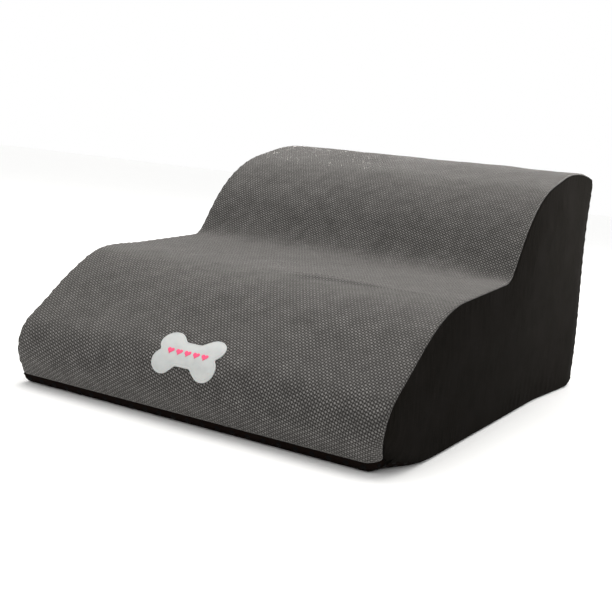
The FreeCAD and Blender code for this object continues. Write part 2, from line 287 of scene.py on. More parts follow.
def joined(parts):
    points, faces, count = [], [], 0
    for some, walls in parts:
        points.append(some)
        faces += [[i + count for i in face] for face in walls]
        count += len(some)
    return np.vstack(points), faces


def crowded(low, high, spots, fine, coarse, reach):
    """Values from low to high, a fine step apart near the spots and coarse elsewhere."""
    values, at = [low], low
    while at < high:
        gap = min(max(spot[0] - at, at - spot[1], 0) for spot in spots)
        at += fine + (coarse - fine) * float(ease(gap / reach))
        values.append(min(at, high))
    values = np.array(values)
    if high - values[-2] < fine / 2:
        values = np.delete(values, -2)
    return values


# ---------------------------------------------------------------- how the cloth lies
def waves(x, s):
    """Broad, slight unevenness of stuffed cloth, in waves about 40 to 150 millimetres long."""
    long = np.sin(TURN * (x / 187 + s / 241) + 0.7) + np.sin(TURN * (x / 131 - s / 173) + 2.1)
    short = np.sin(TURN * (x / 61 + s / 83) + 4.0) + np.sin(TURN * (x / 47 - s / 59) + 1.3)
    return 0.32 * long + 0.13 * short


def puckers(s, away, depth, phase):
    """Small gathers that a seam pulls into the cloth beside it."""
    gather = np.sin(TURN * s / 13 + 2 * np.sin(s / 29 + phase)) + 0.6 * np.sin(TURN * s / 7.3 + phase)
    return depth * gather * np.exp(-away / 9) * ease(away / 3)


def seam_dip(away):
    return -GROOVE * hump(away / GROOVE_WIDTH)


# The crease's line, depth and ridge at places across the ramp, and where the mesh is fine for it.
CREASE_X = np.array([8, 25, 41, 59, 79, 96, 130, 175])
CREASE_S = np.array([222, 227, 229.5, 231.2, 235, 238.5, 240, 239])
CREASE_DEPTH = np.array([0, 1.2, 2.5, 2.7, 2.2, 0.8, 0, 0])
CREASE_RIDGE = np.array([0, 0.8, 1.6, 1.7, 1.7, 1.5, 1.1, 0])
CREASE_ACROSS, CREASE_ALONG = (38, 82), (214, 228)


def tread_crease(x, s):
    """The fold that slack cloth makes along the lower tread: a narrow cut in a swelling, so that it stays off the
    liner, with a low ridge in front."""
    line = np.interp(x, CREASE_X, CREASE_S)
    fold = np.interp(x, CREASE_X, CREASE_DEPTH) * (hump((s - line) / 1.5) - 0.55 * hump((s - line) / 7))
    ridge = np.interp(x, CREASE_X, CREASE_RIDGE) * hump((s - line + 8) / 6)
    return ridge - fold


# ---------------------------------------------------------------- materials
# Numbered sockets: MapRange takes its value at 0, from the range at 1 and 2 to the range at 3 and 4. Mix takes
# its share at 0 and two colours at 6 and 7.
def linear(hex_colour):
    """A colour in linear light from its sRGB hex value."""
    parts = [int(hex_colour[i:i + 2], 16) / 255 for i in (1, 3, 5)]
    return (*[c / 12.92 if c <= 0.04045 else ((c + 0.055) / 1.055) ** 2.4 for c in parts], 1.0)


def add(tree, kind, inputs=None, **settings):
    """One node with its settings, and each input set to a value, or linked from another node or its output."""
    node = tree.nodes.new("ShaderNode" + kind)
    for name, value in settings.items():
        setattr(node, name, value)
    for socket, value in (inputs or {}).items():
        if isinstance(value, bpy.types.Node):
            value = next(output for output in value.outputs if output.enabled)
        if isinstance(value, bpy.types.NodeSocket):
            tree.links.new(value, node.inputs[socket])
        else:
            node.inputs[socket].default_value = value
    return node


def start_material(name):
    material = bpy.data.materials.new(name)
    material.use_nodes = True
    material.node_tree.nodes.clear()
    return material, material.node_tree


def finished(material, surface):
    """The material, with its surface's sockets set and linked on one shader."""
    tree = material.node_tree
    add(tree, "OutputMaterial", {"Surface": add(tree, "BsdfPrincipled", surface)})
    return material


def cloth_place(tree):
    """Across and along the cloth in metres, each a little unsteady as threads are."""
    place = add(tree, "UVMap", uv_map="cloth")
    drift = add(tree, "TexNoise", {"Vector": place, "Scale": 90.0, "Detail": 2.0}).outputs["Color"]
    drift = add(tree, "VectorMath", {0: drift, 1: (0.5, 0.5, 0.5)}, operation="SUBTRACT")
    drift = add(tree, "VectorMath", {0: drift, "Scale": 1.4 * MM}, operation="SCALE")
    return add(tree, "VectorMath", {0: place, 1: drift}, operation="ADD")


def weave_of(tree, place, across, along):
    """Plain weave's height, from -1 to 1: threads over and under, with these repeats in millimetres."""
    parts = add(tree, "SeparateXYZ", {0: place})
    waves_each_way = []
    for side, period in ((0, across), (1, along)):
        angle = add(tree, "Math", {0: parts.outputs[side], 1: TURN / (period * MM)}, operation="MULTIPLY")
        waves_each_way.append(add(tree, "Math", {0: angle}, operation="COSINE"))
    return add(tree, "Math", dict(enumerate(waves_each_way)), operation="MULTIPLY")


# Rows of dots 2.5 mm apart that slant one way, and 3.8 mm apart that slant the other.
ROWS_ONE, ROWS_TWO = (0.137, 0.378), (0.145, -0.219)
DOT_WAVES = ((1, 0, 0.36), (0, 1, 0.17), (1, 1, 0.17), (1, 2, 0.30))


def dot_rows(tree, place, one, two):
    """Raised dots in slanting rows, each about 1 high: one and two are the rows' steps per millimetre, across and
    along the cloth. The dots are a sum of waves, each of some steps of one and of two, by its share."""
    total = 0.0
    for steps_one, steps_two, share in DOT_WAVES:
        across, along = (one[k] * steps_one + two[k] * steps_two for k in (0, 1))
        values = {0: place, 1: (TURN * across / MM, TURN * along / MM, 0.0)}
        angle = add(tree, "VectorMath", values, operation="DOT_PRODUCT")
        wave = add(tree, "Math", {0: angle}, operation="COSINE")
        total = add(tree, "Math", {0: wave, 1: share, 2: total}, operation="MULTIPLY_ADD")
    return total


def woven_jacquard():
    """Polyester jacquard, woven with raised grey picks in staggered rows on a darker ground, so the eye reads fine
    light dots head-on and a paler, furry sheen where the cloth is seen along its surface."""
    material, tree = start_material("polyester_jacquard_woven")
    place = cloth_place(tree)
    dots = dot_rows(tree, place, ROWS_ONE, ROWS_TWO)
    lit = add(tree, "MapRange", {0: dots, 1: -0.26, 2: 0.55}, interpolation_type="SMOOTHSTEP")
    fading = add(tree, "TexNoise", {"Vector": place, "Scale": 1 / (11 * MM), "Detail": 4.0})
    faded = add(tree, "MapRange", {0: fading, 1: 0.35, 2: 0.68, 3: 1.0, 4: 0.62})
    lit = add(tree, "Math", {0: lit, 1: faded}, operation="MULTIPLY")
    colour = add(tree, "Mix", {0: lit, 6: linear("#1f1d1b"), 7: linear("#747270")}, data_type="RGBA")
    wearing = add(tree, "TexNoise", {"Vector": place, "Scale": 1 / (26 * MM), "Detail": 3.0})
    worn = add(tree, "MapRange", {0: wearing, 1: 0.3, 2: 0.7, 3: 0.86, 4: 1.12})
    picking = add(tree, "TexNoise", {"Vector": place, "Scale": 1 / (1.5 * MM), "Detail": 1.0})
    picks = add(tree, "MapRange", {0: picking, 1: 0.25, 2: 0.75, 3: 0.80, 4: 1.2})
    tone = add(tree, "Math", {0: worn, 1: picks}, operation="MULTIPLY")
    grey = add(tree, "CombineXYZ", {0: tone, 1: tone, 2: tone})
    colour = add(tree, "Mix", {0: 1.0, 6: colour, 7: grey}, data_type="RGBA", blend_type="MULTIPLY")
    threads = weave_of(tree, place, 0.8, 0.7)
    height = add(tree, "Math", {0: threads, 1: 0.18, 2: lit}, operation="MULTIPLY_ADD")
    return finished(material, {
        "Base Color": colour, "Roughness": 0.86, "IOR": 1.5, "Specular IOR Level": 0.25,
        "Sheen Weight": 0.55, "Sheen Roughness": 0.42, "Sheen Tint": linear("#bfbbb6"),
        "Normal": add(tree, "Bump", {"Height": height, "Distance": 0.35 * MM})})


def black_oxford():
    """Polyester oxford cloth, plain woven and dyed black with a calendered back: near black, with a soft satin
    sheen and faint lengthwise slubs."""
    material, tree = start_material("polyester_oxford_black")
    place = cloth_place(tree)
    stretched = add(tree, "Mapping", {"Vector": place, "Scale": (1.0, 0.12, 1.0)})
    slubs = add(tree, "TexNoise", {"Vector": stretched, "Scale": 1 / (3.0 * MM), "Detail": 3.0})
    clouds = add(tree, "TexNoise", {"Vector": place, "Scale": 1 / (55 * MM), "Detail": 3.0})
    slubbed = add(tree, "MapRange", {0: slubs, 1: 0.3, 2: 0.7})
    colour = add(tree, "Mix", {0: slubbed, 6: linear("#11100e"), 7: linear("#181614")}, data_type="RGBA")
    clouded = add(tree, "MapRange", {0: clouds, 1: 0.45, 2: 0.75, 4: 0.5})
    colour = add(tree, "Mix", {0: clouded, 6: colour, 7: linear("#1e1c1b")}, data_type="RGBA")
    # Real threads are 0.4 mm apart; drawn at 0.9 mm so that they show.
    height = add(tree, "Math", {0: weave_of(tree, place, 0.9, 0.9), 1: 0.35, 2: slubs}, operation="MULTIPLY_ADD")
    return finished(material, {
        "Base Color": colour, "IOR": 1.5, "Specular IOR Level": 0.001,
        "Roughness": add(tree, "MapRange", {0: clouds, 1: 0.3, 2: 0.7, 3: 0.5, 4: 0.64}),
        "Normal": add(tree, "Bump", {"Height": height, "Distance": 0.14 * MM})})


def dotted_base():
    """Non-woven polyester base cloth with moulded PVC grip dots: flat brownish black, the dots a little glossier."""
    material, tree = start_material("nonwoven_base_pvc_dots")
    place = cloth_place(tree)
    fibres = add(tree, "TexNoise", {"Vector": place, "Scale": 1 / (1.2 * MM), "Detail": 3.0})
    rows = weave_of(tree, place, GRIP_PITCH, GRIP_PITCH)
    dots = add(tree, "MapRange", {0: rows, 1: 0.45, 2: 0.62}, interpolation_type="SMOOTHSTEP")
    matted = add(tree, "MapRange", {0: fibres, 1: 0.3, 2: 0.7})
    colour = add(tree, "Mix", {0: matted, 6: linear("#0b0706"), 7: linear("#18110e")}, data_type="RGBA")
    colour = add(tree, "Mix", {0: dots, 6: colour, 7: linear("#0d0c0c")}, data_type="RGBA")
    height = add(tree, "Math", {0: fibres, 1: 0.3, 2: dots}, operation="MULTIPLY_ADD")
    return finished(material, {
        "Base Color": colour, "IOR": 1.5, "Specular IOR Level": 0.02,
        "Roughness": add(tree, "MapRange", {0: dots, 3: 0.9, 4: 0.45}),
        "Normal": add(tree, "Bump", {"Height": height, "Distance": 0.5 * MM})})


def zip_webbing():
    """Polyester zip tape, herringbone woven and dyed black: matt, with fine slanting ribs."""
    material, tree = start_material("polyester_zip_tape_woven")
    place = add(tree, "TexCoord").outputs["Object"]
    ribs = add(tree, "TexWave", {"Vector": place, "Scale": 1 / (1.1 * MM) / 20, "Distortion": 0.6,
                                 "Detail": 1.0}, bands_direction="DIAGONAL").outputs["Fac"]
    colour = add(tree, "Mix", {0: ribs, 6: linear("#0f0f0f"), 7: linear("#201f1f")}, data_type="RGBA")
    return finished(material, {
        "Base Color": colour, "Roughness": 0.82, "Specular IOR Level": 0.12, "Sheen Weight": 0.04,
        "Normal": add(tree, "Bump", {"Height": ribs, "Distance": 0.15 * MM})})


def nylon_coil():
    """Nylon monofilament, wound into a zip's coil and dyed black: smooth with a small bright gloss."""
    material, tree = start_material("nylon_monofilament_dyed")
    place = add(tree, "TexCoord").outputs["Object"]
    grain = add(tree, "TexNoise", {"Vector": place, "Scale": 1 / (4 * MM), "Detail": 3.0})
    return finished(material, {
        "Base Color": add(tree, "Mix", {0: grain, 6: linear("#0e0e0f"), 7: linear("#1f1f21")}, data_type="RGBA"),
        "IOR": 1.53, "Roughness": add(tree, "MapRange", {0: grain, 1: 0.3, 2: 0.7, 3: 0.28, 4: 0.42})})


def lacquered_zinc():
    """Zinc alloy, die-cast and dipped in black lacquer: a hard dark gloss, with bare metal at rubbed spots."""
    material, tree = start_material("zinc_diecast_lacquered")
    place = add(tree, "TexCoord").outputs["Object"]
    rubbing = add(tree, "TexNoise", {"Vector": place, "Scale": 1 / (2.2 * MM), "Detail": 5.0})
    rub = add(tree, "MapRange", {0: rubbing, 1: 0.60, 2: 0.68}, interpolation_type="SMOOTHSTEP")
    cast = add(tree, "TexNoise", {"Vector": place, "Scale": 1 / (0.6 * MM), "Detail": 3.0})
    return finished(material, {
        "Base Color": add(tree, "Mix", {0: rub, 6: linear("#18181a"), 7: linear("#a5a6aa")}, data_type="RGBA"),
        "Metallic": add(tree, "MapRange", {0: rub, 3: 0.35, 4: 1.0}), "Coat Weight": 0.6, "Coat Roughness": 0.12,
        "Roughness": add(tree, "MapRange", {0: cast, 1: 0.3, 2: 0.7, 3: 0.26, 4: 0.42}),
        "Normal": add(tree, "Bump", {"Height": cast, "Distance": 0.03 * MM})})


def moulded_patch():
    """Soft PVC, moulded as a flat patch: matt off-white with a slight pebble and a faint waxy edge."""
    material, tree = start_material("soft_pvc_patch_moulded")
    place = add(tree, "TexCoord").outputs["Object"]
    clouds = add(tree, "TexNoise", {"Vector": place, "Scale": 1 / (9 * MM), "Detail": 3.0})
    pebble = add(tree, "TexNoise", {"Vector": place, "Scale": 1 / (0.7 * MM), "Detail": 3.0})
    mottled = add(tree, "MapRange", {0: clouds, 1: 0.3, 2: 0.7})
    return finished(material, {
        "Base Color": add(tree, "Mix", {0: mottled, 6: linear("#aaacab"), 7: linear("#b5b7b5")}, data_type="RGBA"),
        "IOR": 1.53, "Specular IOR Level": 0.4, "Subsurface Weight": 0.12, "Subsurface Scale": 0.6 * MM,
        "Roughness": add(tree, "MapRange", {0: clouds, 1: 0.3, 2: 0.7, 3: 0.5, 4: 0.62}),
        "Normal": add(tree, "Bump", {"Height": pebble, "Distance": 0.05 * MM})})


def puff_print():
    """Plastisol ink, screen printed and puffed by heat: saturated pink, softly uneven on top."""
    material, tree = start_material("plastisol_ink_puffed")
    place = add(tree, "TexCoord").outputs["Object"]
    grain = add(tree, "TexNoise", {"Vector": place, "Scale": 1 / (0.8 * MM), "Detail": 3.0})
    return finished(material, {
        "Base Color": add(tree, "Mix", {0: grain, 6: linear("#dc3a66"), 7: linear("#e84f78")}, data_type="RGBA"),
        "IOR": 1.5, "Roughness": 0.55, "Normal": add(tree, "Bump", {"Height": grain, "Distance": 0.06 * MM})})


def sewing_thread():
    """Polyester thread, spun and dyed black: two plies that twist round each other, with a low lustre."""
    material, tree = start_material("polyester_thread_spun")
    place = add(tree, "TexCoord").outputs["Object"]
    twist = add(tree, "TexWave", {"Vector": place, "Scale": 1 / (0.9 * MM) / 20, "Distortion": 0.4},
                bands_direction="DIAGONAL").outputs["Fac"]
    return finished(material, {
        "Base Color": add(tree, "Mix", {0: twist, 6: linear("#121111"), 7: linear("#272625")}, data_type="RGBA"),
        "Roughness": 0.6, "Specular IOR Level": 0.15, "Sheen Weight": 0.05,
        "Normal": add(tree, "Bump", {"Height": twist, "Distance": 0.08 * MM})})


def cut_foam():
    """Polyurethane foam, sliced from a block: pale yellow-grey, open cells half a millimetre across."""
    material, tree = start_material("polyurethane_foam_cut")
    place = add(tree, "TexCoord").outputs["Object"]
    # Real cells are about 0.5 mm; drawn at 1.2 mm so that they show.
    cells = add(tree, "TexVoronoi", {"Vector": place, "Scale": 1 / (1.2 * MM)}).outputs["Distance"]
    ageing = add(tree, "TexNoise", {"Vector": place, "Scale": 1 / (60 * MM), "Detail": 3.0})
    open_cells = add(tree, "MapRange", {0: cells, 2: 0.6})
    colour = add(tree, "Mix", {0: open_cells, 6: linear("#a9a186"), 7: linear("#d8d2ba")}, data_type="RGBA")
    aged = add(tree, "MapRange", {0: ageing, 1: 0.4, 2: 0.7, 4: 0.35})
    colour = add(tree, "Mix", {0: aged, 6: colour, 7: linear("#cdbf94")}, data_type="RGBA")
    return finished(material, {
        "Base Color": colour, "Roughness": 0.95,
        "Normal": add(tree, "Bump", {"Height": cells, "Distance": 0.6 * MM})})


def spunbond_liner():
    """Polypropylene spunbond, hot embossed: thin off-white fleece with a fine grid of bond points."""
    material, tree = start_material("polypropylene_spunbond_embossed")
    place = cloth_place(tree)
    bonding = weave_of(tree, place, 2.4, 2.4)
    bonds = add(tree, "MapRange", {0: bonding, 1: 0.5, 2: 0.8}, interpolation_type="SMOOTHSTEP")
    fibres = add(tree, "TexNoise", {"Vector": place, "Scale": 1 / (0.9 * MM), "Detail": 3.0})
    matted = add(tree, "MapRange", {0: fibres, 1: 0.3, 2: 0.7})
    colour = add(tree, "Mix", {0: matted, 6: linear("#c4c4c0"), 7: linear("#e4e4e0")}, data_type="RGBA")
    height = add(tree, "Math", {0: bonds, 1: -0.8, 2: fibres}, operation="MULTIPLY_ADD")
    return finished(material, {
        "Base Color": add(tree, "Mix", {0: bonds, 6: colour, 7: linear("#b2b2ae")}, data_type="RGBA"),
        "Roughness": 0.85, "Normal": add(tree, "Bump", {"Height": height, "Distance": 0.12 * MM})})


def painted_floor():
    """Board painted matt white with a roller: flat, bright and almost without gloss."""
    material, tree = start_material("board_painted_matt_white")
    place = add(tree, "TexCoord").outputs["Object"]
    mottle = add(tree, "TexNoise", {"Vector": place, "Scale": 1 / (300 * MM), "Detail": 3.0})
    return finished(material, {
        "Base Color": add(tree, "Mix", {0: mottle, 6: linear("#fafaf9"), 7: linear("#fdfdfc")}, data_type="RGBA"),
        "Roughness": 0.9, "Specular IOR Level": 0.2})


JACQUARD, BLACK, BASE = woven_jacquard(), black_oxford(), dotted_base()
WEBBING, COIL, METAL = zip_webbing(), nylon_coil(), lacquered_zinc()
PATCH, PRINT, THREAD = moulded_patch(), puff_print(), sewing_thread()
FOAM, LINER = cut_foam(), spunbond_liner()


# ---------------------------------------------------------------- cover
def strip_grid(xs, us, inset=0.0):
    """Sharp points of a strip across the ramp: xs across, us along the ring from the front hem."""
    y, z = ring_at(us, inset)
    return np.stack(np.broadcast_arrays(xs[:, None], y[None, :], z[None, :]), -1)


def laid(sharp, rise):
    """The softened grid, raised by rise millimetres along its own normals."""
    soft = soften(sharp)
    return soft + grid_normals(soft) * rise[..., None]


def make_top():
    xs = crowded(-SEAM_X, SEAM_X, [(-SEAM_X, -SEAM_X + 3), (SEAM_X - 3, SEAM_X), CREASE_ACROSS],
                 fine=0.8, coarse=4.4, reach=22)
    us = crowded(0, REAR_TOP, [(0, 4), (REAR_TOP - 4, REAR_TOP), CREASE_ALONG],
                 fine=0.8, coarse=4.0, reach=20)
    x, u = np.meshgrid(xs, us, indexing="ij")
    s = u + HEM
    away = SEAM_X - abs(x)
    ends = np.minimum(u, REAR_TOP - u)
    rise = waves(x, s) * ease(away / 30) * ease(ends / 30) + tread_crease(x, s)
    rise += puckers(s, away, 0.28, np.sign(x)) + puckers(x, ends, 0.2, 1.0)
    rise += seam_dip(away) + seam_dip(ends)
    rise += BRIDGE * hump((u - INNER_CORNER) / BRIDGE_REACH) * ease(away / 90)
    grid = laid(strip_grid(xs, us), rise)
    piece = cloth_shell("top_cover", grid, np.stack([x, s], -1), CLOTH, JACQUARD)
    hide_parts("top_panel")
    return xs, us, grid


def make_back(name, low, high, node):
    """One back panel between two heights, its edge at the zip folded back and drawn shut past the zip's ends."""
    tape_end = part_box("zip_tape_upper")[1].x / MM
    xs = crowded(-SEAM_X, SEAM_X, [(-SEAM_X, -SEAM_X + 3), (SEAM_X - 3, SEAM_X)],
                 fine=0.8, coarse=4.4, reach=22)
    share = crowded(0, 1, [(0, 0.02), (0.98, 1)], fine=0.8 / (high - low), coarse=4.5 / (high - low), reach=0.1)
    x, t = np.meshgrid(xs, share, indexing="ij")
    shut = ease((abs(x) - tape_end + 8) / 8) * (abs(ZIP_HEIGHT - np.array([low, high])).min() - 0.06)
    z = low + (high - low) * t
    over_zip = low > ZIP_HEIGHT
    z = z - shut * (1 - t) if over_zip else z + shut * t
    order = RING_AT[:-1][(RING[:, 0] > 0) & (RING_AT[:-1] <= REAR_HEM + 3) & (RING_AT[:-1] > REAR_TOP - 3)]
    heights = ring_at(order)[1]
    u = np.interp(z, heights[::-1], order[::-1])
    y, ring_z = ring_at(u)
    sharp = np.stack([x, y, ring_z], -1)[:, ::-1]
    x, z, t = x[:, ::-1], z[:, ::-1], t[:, ::-1]
    away = SEAM_X - abs(x)
    sewn = (high - z) if over_zip else (z - low)
    zipped = abs(z - ZIP_HEIGHT)
    calm = ease((zipped - 8) / 40)
    rise = waves(x, z + 700) * calm * ease(away / 30) + puckers(z, away, 0.25, np.sign(x)) * calm
    rise += seam_dip(away) + seam_dip(sewn) + puckers(x, sewn, 0.2, 2.0) * calm
    stitched = (z - WINDOW_HIGH if over_zip else WINDOW_LOW - z) - 2.5
    rise -= 0.35 * hump(stitched / 0.9) * (abs(x) < tape_end)
    grid = laid(sharp, rise)
    piece = cloth_shell(name, grid, np.stack([x, z], -1), BLACK_CLOTH, BLACK)
    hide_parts(node)
    return grid


def make_side(name, side, node):
    """A side panel, cut to the outline and drawn over its edge to the seam."""
    u_top = crowded(1.5, REAR_HEM - 1.5, [(0, 12), (REAR_HEM - 12, REAR_HEM)], fine=1.0, coarse=3.4, reach=30)
    count = len(u_top)
    u_base = np.linspace(AROUND - 1.5, REAR_HEM + 1.5, count)
    top_y, top_z = ring_at(u_top)
    base_y, base_z = ring_at(u_base, WRAP)
    share = 0.5 + 0.5 * np.tanh(np.linspace(-2.3, 2.3, 54)) / math.tanh(2.3)
    top, base = np.stack([top_y, top_z], -1), np.stack([base_y, base_z], -1)
    face = top[None] + (base - top)[None] * share[:, None, None]
    over = np.array([SEAM_IN, SEAM_IN * 0.6, SEAM_IN * 0.25])
    flat = np.concatenate([np.repeat(top[None], 3, 0), face])
    x = np.concatenate([HALF - over, np.full(len(share), HALF)])[:, None] * np.ones(count)
    sharp = np.concatenate([(side * x)[..., None], flat], -1)
    y, z = flat[..., 0], flat[..., 1]
    depth = depth_under(y.ravel(), z.ravel())[0].reshape(y.shape)
    away = SEAM_IN - (HALF - x) + depth
    s = u_top[None] * np.ones_like(y)
    low_band = ease((38 - z) / 30) * ease(depth / 12) * ease((z - 2) / 7)
    gathers = np.sin(TURN * y / 17 + 1.5 * np.sin(y / 41)) * ease((y + 30) / 90) * ease((240 - y) / 60)
    rise = 0.55 * waves(y, z + 300 * side) * ease(depth / 40) * ease(z / 20) + puckers(s, away, 0.4, side)
    rise += seam_dip(away) + 0.5 * gathers * low_band
    edge_cloth = np.stack([y, z + (x - HALF)], -1)
    if side < 0:
        sharp, rise, edge_cloth = sharp[::-1], rise[::-1], edge_cloth[::-1]
    grid = laid(sharp, rise)
    piece = cloth_shell(name, grid, edge_cloth, BLACK_CLOTH, BLACK)
    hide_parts(node)


def make_base():
    """The base cloth: one sheet under the ramp, turned up at the front, the rear and a little at the sides."""
    turned = np.array([WRAP, WRAP * 0.6, WRAP * 0.25])
    inner = crowded(-HALF, HALF, [(-HALF, -HALF + 4), (HALF - 4, HALF)], fine=0.8, coarse=2.7, reach=12)
    xs = np.concatenate([np.full(3, -HALF), inner, np.full(3, HALF)])
    insets = np.concatenate([turned, np.zeros(len(inner)), turned[::-1]])
    us = crowded(REAR_HEM, AROUND, [(REAR_HEM, REAR_HEM + 12), (AROUND - 12, AROUND)],
                 fine=0.8, coarse=2.7, reach=15)
    rows = [np.stack(ring_at(us, inset), -1) for inset in insets]
    sharp = np.concatenate([np.repeat(xs[:, None, None], len(us), 1), np.array(rows)], -1)
    x, u = np.meshgrid(xs, us, indexing="ij")
    ends = np.minimum(u - REAR_HEM, AROUND - u)
    rise = seam_dip(ends) + 0.45 * hump((ends - 4.5) / 2.5)
    rise += 0.25 * np.sin(TURN * x / 23 + 1.7 * np.sin(x / 31)) * hump(ends / 7) * ease(ends / 2)
    soft = soften(sharp)
    grid = soft + grid_normals(soft) * rise[..., None]
    dots = np.cos(TURN * x / GRIP_PITCH) * np.cos(TURN * u / GRIP_PITCH)
    clear = GRIP_HEIGHT * (1 - ease((dots - 0.45) / 0.2))
    grid[..., 2] = np.maximum(grid[..., 2], clear)
    piece = cloth_shell("base_cover", grid, np.stack([x, u], -1), BASE_CLOTH, BASE)
    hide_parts("bottom_panel")


def stuffed_skin(inset):
    """Points and faces of a closed body that follows the cover at an inset, its sides ruled from top to base."""
    half, count = HALF - inset, 110
    xs = crowded(-half, half, [(-half, -half + 6), (half - 6, half)], fine=1.6, coarse=9.0, reach=30)
    over = np.linspace(0, REAR_HEM, count + 1)
    under = np.linspace(REAR_HEM, AROUND, count + 1)
    us = np.concatenate([over[:-1], under[:-1]])
    belt = strip_grid(xs, us, inset)
    at = np.arange(belt[..., 0].size).reshape(belt.shape[:2])
    onward = np.roll(at, -1, axis=1)
    faces = [np.stack([at[:-1], at[1:], onward[1:], onward[:-1]], -1).reshape(-1, 4)]
    points = [belt.reshape(-1, 3)]
    top = np.stack(ring_at(over, inset), -1)
    base = np.stack(ring_at(under[::-1], inset), -1)
    share = (0.5 - 0.5 * np.cos(np.linspace(0, math.pi, 26)))[:, None, None]
    face = top + (base - top) * share
    for x_end in (half, -half):
        cap = np.concatenate([np.full(face.shape[:2] + (1,), x_end), face], -1)
        faces.append(quads(*cap.shape[:2], sum(map(len, points)), x_end < 0))
        points.append(cap.reshape(-1, 3))
    return soften(np.vstack(points)), np.vstack(faces)


def make_filling(name, skins, material, node):
    """A body from skins of (inset, turned inside out), each closed on itself."""
    form = bmesh.new()
    for inset, inside_out in skins:
        points, faces = stuffed_skin(inset)
        mesh = bpy.data.meshes.new(name)
        mesh.from_pydata((points * MM).tolist(), [], (faces[:, ::-1] if inside_out else faces).tolist())
        form.from_mesh(mesh)
        bpy.data.meshes.remove(mesh)
    bmesh.ops.remove_doubles(form, verts=form.verts, dist=0.02 * MM)
    layer = form.loops.layers.uv.new("cloth")
    for face in form.faces:
        face.smooth = True
        flat = abs(face.normal.x) > 0.7
        for corner in face.loops:
            x, y, z = corner.vert.co
            corner[layer].uv = (y, z) if flat else (x, y + z)
    mesh = bpy.data.meshes.new(name)
    form.to_mesh(mesh)
    form.free()
    mesh.materials.append(material)
    piece = bpy.data.objects.new(name, mesh)
    bpy.context.scene.collection.objects.link(piece)
    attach(piece, "ramp")
    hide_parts(node)
    return piece


TOP_XS, TOP_US, TOP_GRID = make_top()
TOP_NORMALS = grid_normals(TOP_GRID)
make_back("back_upper", WINDOW_HIGH, REAR_SEAM, "back_panel_upper")
BACK_LOW = make_back("back_lower", HEM, WINDOW_LOW, "back_panel_lower")
make_side("side_cover_right", 1, "side_panel_right")
make_side("side_cover_left", -1, "side_panel_left")
make_base()

foam = make_filling("foam_wedge", [(FOAM_INSET, False)], FOAM, "foam_core")
liner_skins = [(LINER_INSET, False), (LINER_INSET + LINER_CLOTH, True)]
liner = make_filling("liner_skin", liner_skins, LINER, "inner_liner")


# ---------------------------------------------------------------- threads
def make_seam_thread(name, node, line, lean):
    """A seam's thread: it swells at each stitch as it dips in and out of the cloth."""
    along = np.concatenate([[0], np.cumsum(np.linalg.norm(np.diff(line, axis=0), axis=1))])
    at = np.arange(0, along[-1], 0.85)
    centres = np.stack([np.interp(at, along, line[:, k]) for k in range(3)], 1)
    radius = 0.27 + 0.07 * np.cos(TURN * at / 3.4)
    piece = finish_mesh(name, *tube(centres, 6, radius, lean), THREAD)
    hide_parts(node)


ACROSS, UP = (1.0, 0.0, 0.0), (0.0, 0.0, 1.0)
make_seam_thread("stitching_left", "seam_thread_left", TOP_GRID[0], ACROSS)
make_seam_thread("stitching_right", "seam_thread_right", TOP_GRID[-1], ACROSS)
make_seam_thread("stitching_front", "seam_thread_front", TOP_GRID[:, 0], UP)
make_seam_thread("stitching_rear", "seam_thread_rear", TOP_GRID[:, -1], UP)
make_seam_thread("stitching_base", "seam_thread_base", BACK_LOW[:, -1], UP)


def make_topstitching(name, node):
    """Single stitches along the folded edge beside the zip, each pulled down at both ends."""
    low, high = (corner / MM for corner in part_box(node))
    pitch, length = 3.2, 2.5
    stitches = []
    for k in range(int((high.x - low.x) / pitch)):
        share = np.linspace(0, 1, 6)
        x = low.x + 0.5 * pitch + k * pitch + (share - 0.5) * length
        y = low.y - 0.55 + 0.55 * np.sin(share * math.pi) ** 0.5
        z = np.full(6, (low.z + high.z) / 2) + 0.12 * (share - 0.5)
        stitches.append(tube(np.stack([x, y, z], 1), 6, 0.25, UP))
    piece = finish_mesh(name, *joined(stitches), THREAD)
    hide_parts(node)


make_topstitching("topstitch_upper", "zip_stitching_upper")
make_topstitching("topstitch_lower", "zip_stitching_lower")


# ---------------------------------------------------------------- zip
def make_tape(name, node):
    low, high = (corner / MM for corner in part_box(node))
    xs = np.arange(low.x, high.x + 0.1, 2.0)
    zs = np.linspace(high.z, low.z, 19)
    x, z = np.meshgrid(xs, zs, indexing="ij")
    ribs = 0.05 * np.cos(TURN * z / 1.6)
    grid = np.stack([x, high.y - 0.08 + ribs, z], -1)
    piece = cloth_shell(name, grid, np.stack([x, z], -1), 0.4, WEBBING)
    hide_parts(node)


def make_coil(name, node, start):
    """One side of the zip: nylon wire wound along the tape, 1.5 mm a turn, and up to the other side's."""
    low, high = (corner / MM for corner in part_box(node))
    pitch, steps, wire, clearance = 1.5, 14, 0.3, 0.08
    if low.z > ZIP_HEIGHT:
        low.z = ZIP_HEIGHT + clearance
    else:
        high.z = ZIP_HEIGHT - clearance
    turns = (high.x - low.x - 2 * wire) / pitch
    turn = np.arange(int(turns * steps)) / steps
    angle = TURN * (turn + start)
    x = low.x + wire + turn * pitch
    y = (low.y + high.y) / 2 + ((high.y - low.y) / 2 - wire) * np.cos(angle)
    z = (low.z + high.z) / 2 + ((high.z - low.z) / 2 - wire) * np.sin(angle)
    piece = finish_mesh(name, *tube(np.stack([x, y, z], 1), 6, wire, ACROSS), COIL)
    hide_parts(node)


